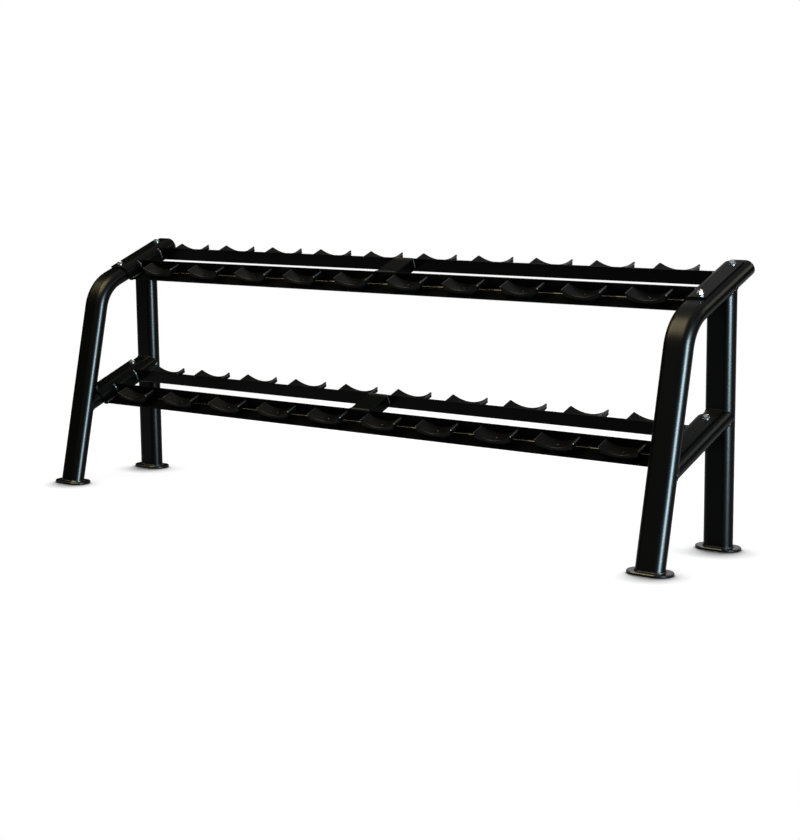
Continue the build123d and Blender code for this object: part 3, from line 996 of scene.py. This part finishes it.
class RACK_OT_stage(bpy.types.Operator):
    """Sets up the floor, the walls, the lights and the camera"""

    bl_idname = "rack.stage"
    bl_label = "Studio"

    def execute(self, context):
        studio = context.scene.rack_studio
        context.scene.view_settings.view_transform = "Standard"
        self.set_world(context.scene, studio)
        self.lay_floor(studio)
        self.stand_walls()
        for lamp in LAMPS:
            self.hang(context.scene, *lamp)
        self.place_camera(context.scene, studio)
        return {"FINISHED"}

    def seen(self, tree):
        """One for rays that show the backdrop: from the camera, off gloss or through glass."""
        outputs = tree.node("ShaderNodeLightPath").socket.node.outputs
        camera = Wire(tree, outputs["Is Camera Ray"])
        glossy = Wire(tree, outputs["Is Glossy Ray"])
        through = Wire(tree, outputs["Is Transmission Ray"])
        return camera.at_least(glossy).at_least(through)

    def set_world(self, scene, studio):
        """White behind the rack and in its gloss, and a dimmer plain light."""
        world = bpy.data.worlds.new("studio_world")
        world.use_nodes = True
        scene.world = world
        tree = Tree(world.node_tree)
        plain = tree.node("ShaderNodeBackground", inputs={"Color": grey(1.0), "Strength": studio.ambient})
        white = tree.node("ShaderNodeBackground", inputs={"Color": grey(1.0), "Strength": 1.0})
        tree.output("ShaderNodeOutputWorld", tree.mix_shader(self.seen(tree), plain, white))

    def lay_floor(self, studio):
        """A white floor with a painted contact shadow: its colour and glow darken only where the feet stand."""
        material, tree = new_tree("floor_white")
        towards_light = tree.node("ShaderNodeVectorMath", {"operation": "NORMALIZE"}, {0: LIGHT_SIDE})
        open_air = tree.node(
            "ShaderNodeAmbientOcclusion", {"samples": CONTACT_SAMPLES},
            {"Distance": CONTACT_REACH, "Normal": towards_light}, output="AO",
        )
        # Painted shadow: occlusion on the light's side darkens the floor's colour and glow next to the feet.
        contact = tree.ramp(open_air, CONTACT_STOPS)
        shade = tree.mix_colour(contact, grey(0.2), grey(0.5))
        matt = tree.node("ShaderNodeBsdfDiffuse", inputs={"Color": shade})
        lift = tree.node("ShaderNodeEmission", inputs={"Color": contact, "Strength": studio.floor_lift})
        white = tree.node("ShaderNodeAddShader", inputs={0: matt, 1: lift})
        dull = tree.node("ShaderNodeBsdfDiffuse", inputs={"Color": grey(0.25)})
        tree.output("ShaderNodeOutputMaterial", tree.mix_shader(self.seen(tree), dull, white))
        mesh = bmesh.new()
        bmesh.ops.create_circle(mesh, cap_ends=True, segments=FLOOR_SIDES, radius=studio.floor_radius)
        bmesh.ops.translate(mesh, vec=(0, 0, -FLOOR_DROP), verts=mesh.verts[:])
        floor = new_object("studio_floor", mesh, material)

    def stand_walls(self):
        """Dark sheets far to the left and far behind the right end, seen only in gloss: painted dark
        reflections for the gloss to die away in.
        """
        material, tree = new_tree("painted_reflection_black")
        paint = tree.node("ShaderNodeBsdfDiffuse", inputs={"Color": grey(0.02)})
        tree.output("ShaderNodeOutputMaterial", paint)
        upright = Matrix.Rotation(pi / 2, 4, "X")
        for name, place, turn, half_size in WALLS:
            mesh = bmesh.new()
            bmesh.ops.create_grid(mesh, x_segments=1, y_segments=1, size=1.0)
            bmesh.ops.scale(mesh, vec=half_size, verts=mesh.verts[:])
            stand = Matrix.Translation(place) @ Matrix.Rotation(turn, 4, "Z") @ upright
            bmesh.ops.transform(mesh, matrix=stand, verts=mesh.verts[:])
            wall = new_object(name, mesh, material)
            # Painted dark reflection: the sheet is seen only in gloss, never by the camera, diffuse light or
            # shadows.
            wall.visible_camera = False
            wall.visible_diffuse = False
            wall.visible_shadow = False

    def hang(self, scene, name, place, target, size, watts, colour, plain):
        """One softbox. One that isn't plain lights the gloss alone, as a grid on it would."""
        data = bpy.data.lights.new(name, "AREA")
        data.shape = "RECTANGLE"
        data.size, data.size_y = size
        data.energy = watts
        data.color = colour
        lamp = bpy.data.objects.new(name, data)
        lamp.location = place
        lamp.rotation_euler = (Vector(target) - Vector(place)).to_track_quat("-Z", "Y").to_euler()
        lamp.visible_camera = False
        lamp.visible_diffuse = plain
        scene.collection.objects.link(lamp)

    def place_camera(self, scene, studio):
        """A camera where the photograph was taken from."""
        data = bpy.data.cameras.new("photo_camera")
        data.sensor_fit = "HORIZONTAL"
        data.sensor_width = 36.0
        data.lens = studio.lens
        data.clip_end = 200.0
        right = Vector((cos(studio.heading), -sin(studio.heading), 0))
        ahead = Vector((
            sin(studio.heading) * cos(studio.pitch),
            cos(studio.heading) * cos(studio.pitch),
            sin(studio.pitch),
        ))
        up = right.cross(ahead)
        turned_right = right * cos(studio.roll) + up * sin(studio.roll)
        turned_up = up * cos(studio.roll) - right * sin(studio.roll)
        camera = bpy.data.objects.new("photo_camera", data)
        turn = Matrix((turned_right, turned_up, -ahead)).transposed().to_4x4()
        camera.matrix_world = Matrix.Translation(studio.camera_place) @ turn
        scene.collection.objects.link(camera)
        scene.camera = camera


class RACK_PT_panel(bpy.types.Panel):
    """Lists the rack's steps and settings"""

    bl_idname = "RACK_PT_panel"
    bl_label = "Dumbbell Rack"
    bl_space_type = "VIEW_3D"
    bl_region_type = "UI"
    bl_category = "Rack"

    def draw(self, context):
        layout = self.layout
        for operator in OPERATORS:
            layout.operator(operator.bl_idname)
        for group in GROUPS:
            settings = getattr(context.scene, group)
            box = layout.box()
            box.label(text=settings.bl_rna.description)
            for name in settings.bl_rna.properties.keys():
                if name not in {"rna_type", "name"}:
                    box.prop(settings, name)


GROUPS = {
    "rack_sizes": RackSizes,
    "rack_welds": RackWelds,
    "rack_finishes": RackFinishes,
    "rack_studio": RackStudio,
}
OPERATORS = (
    RACK_OT_paint_frames,
    RACK_OT_paint_shelves,
    RACK_OT_finish_mouldings,
    RACK_OT_plate_fasteners,
    RACK_OT_foot_welds,
    RACK_OT_tube_welds,
    RACK_OT_rail_welds,
    RACK_OT_rail_folds,
    RACK_OT_brace_welds,
    RACK_OT_bracket_bolts,
    RACK_OT_saddle_screws,
    RACK_OT_saddle_lips,
    RACK_OT_stage,
)


def register():
    for group in GROUPS.values():
        bpy.utils.register_class(group)
    for operator in OPERATORS:
        bpy.utils.register_class(operator)
    bpy.utils.register_class(RACK_PT_panel)
    for name, group in GROUPS.items():
        setattr(bpy.types.Scene, name, bpy.props.PointerProperty(type=group))


def unregister():
    for name in GROUPS:
        delattr(bpy.types.Scene, name)
    bpy.utils.unregister_class(RACK_PT_panel)
    for operator in reversed(OPERATORS):
        bpy.utils.unregister_class(operator)
    for group in reversed(list(GROUPS.values())):
        bpy.utils.unregister_class(group)


def main():
    register()
    bpy.ops.rack.paint_frames()
    bpy.ops.rack.paint_shelves()
    bpy.ops.rack.finish_mouldings()
    bpy.ops.rack.plate_fasteners()
    bpy.ops.rack.foot_welds()
    bpy.ops.rack.tube_welds()
    bpy.ops.rack.rail_welds()
    bpy.ops.rack.rail_folds()
    bpy.ops.rack.brace_welds()
    bpy.ops.rack.bracket_bolts()
    bpy.ops.rack.saddle_screws()
    bpy.ops.rack.saddle_lips()
    bpy.ops.rack.stage()


if __name__ == "__main__":
    main()
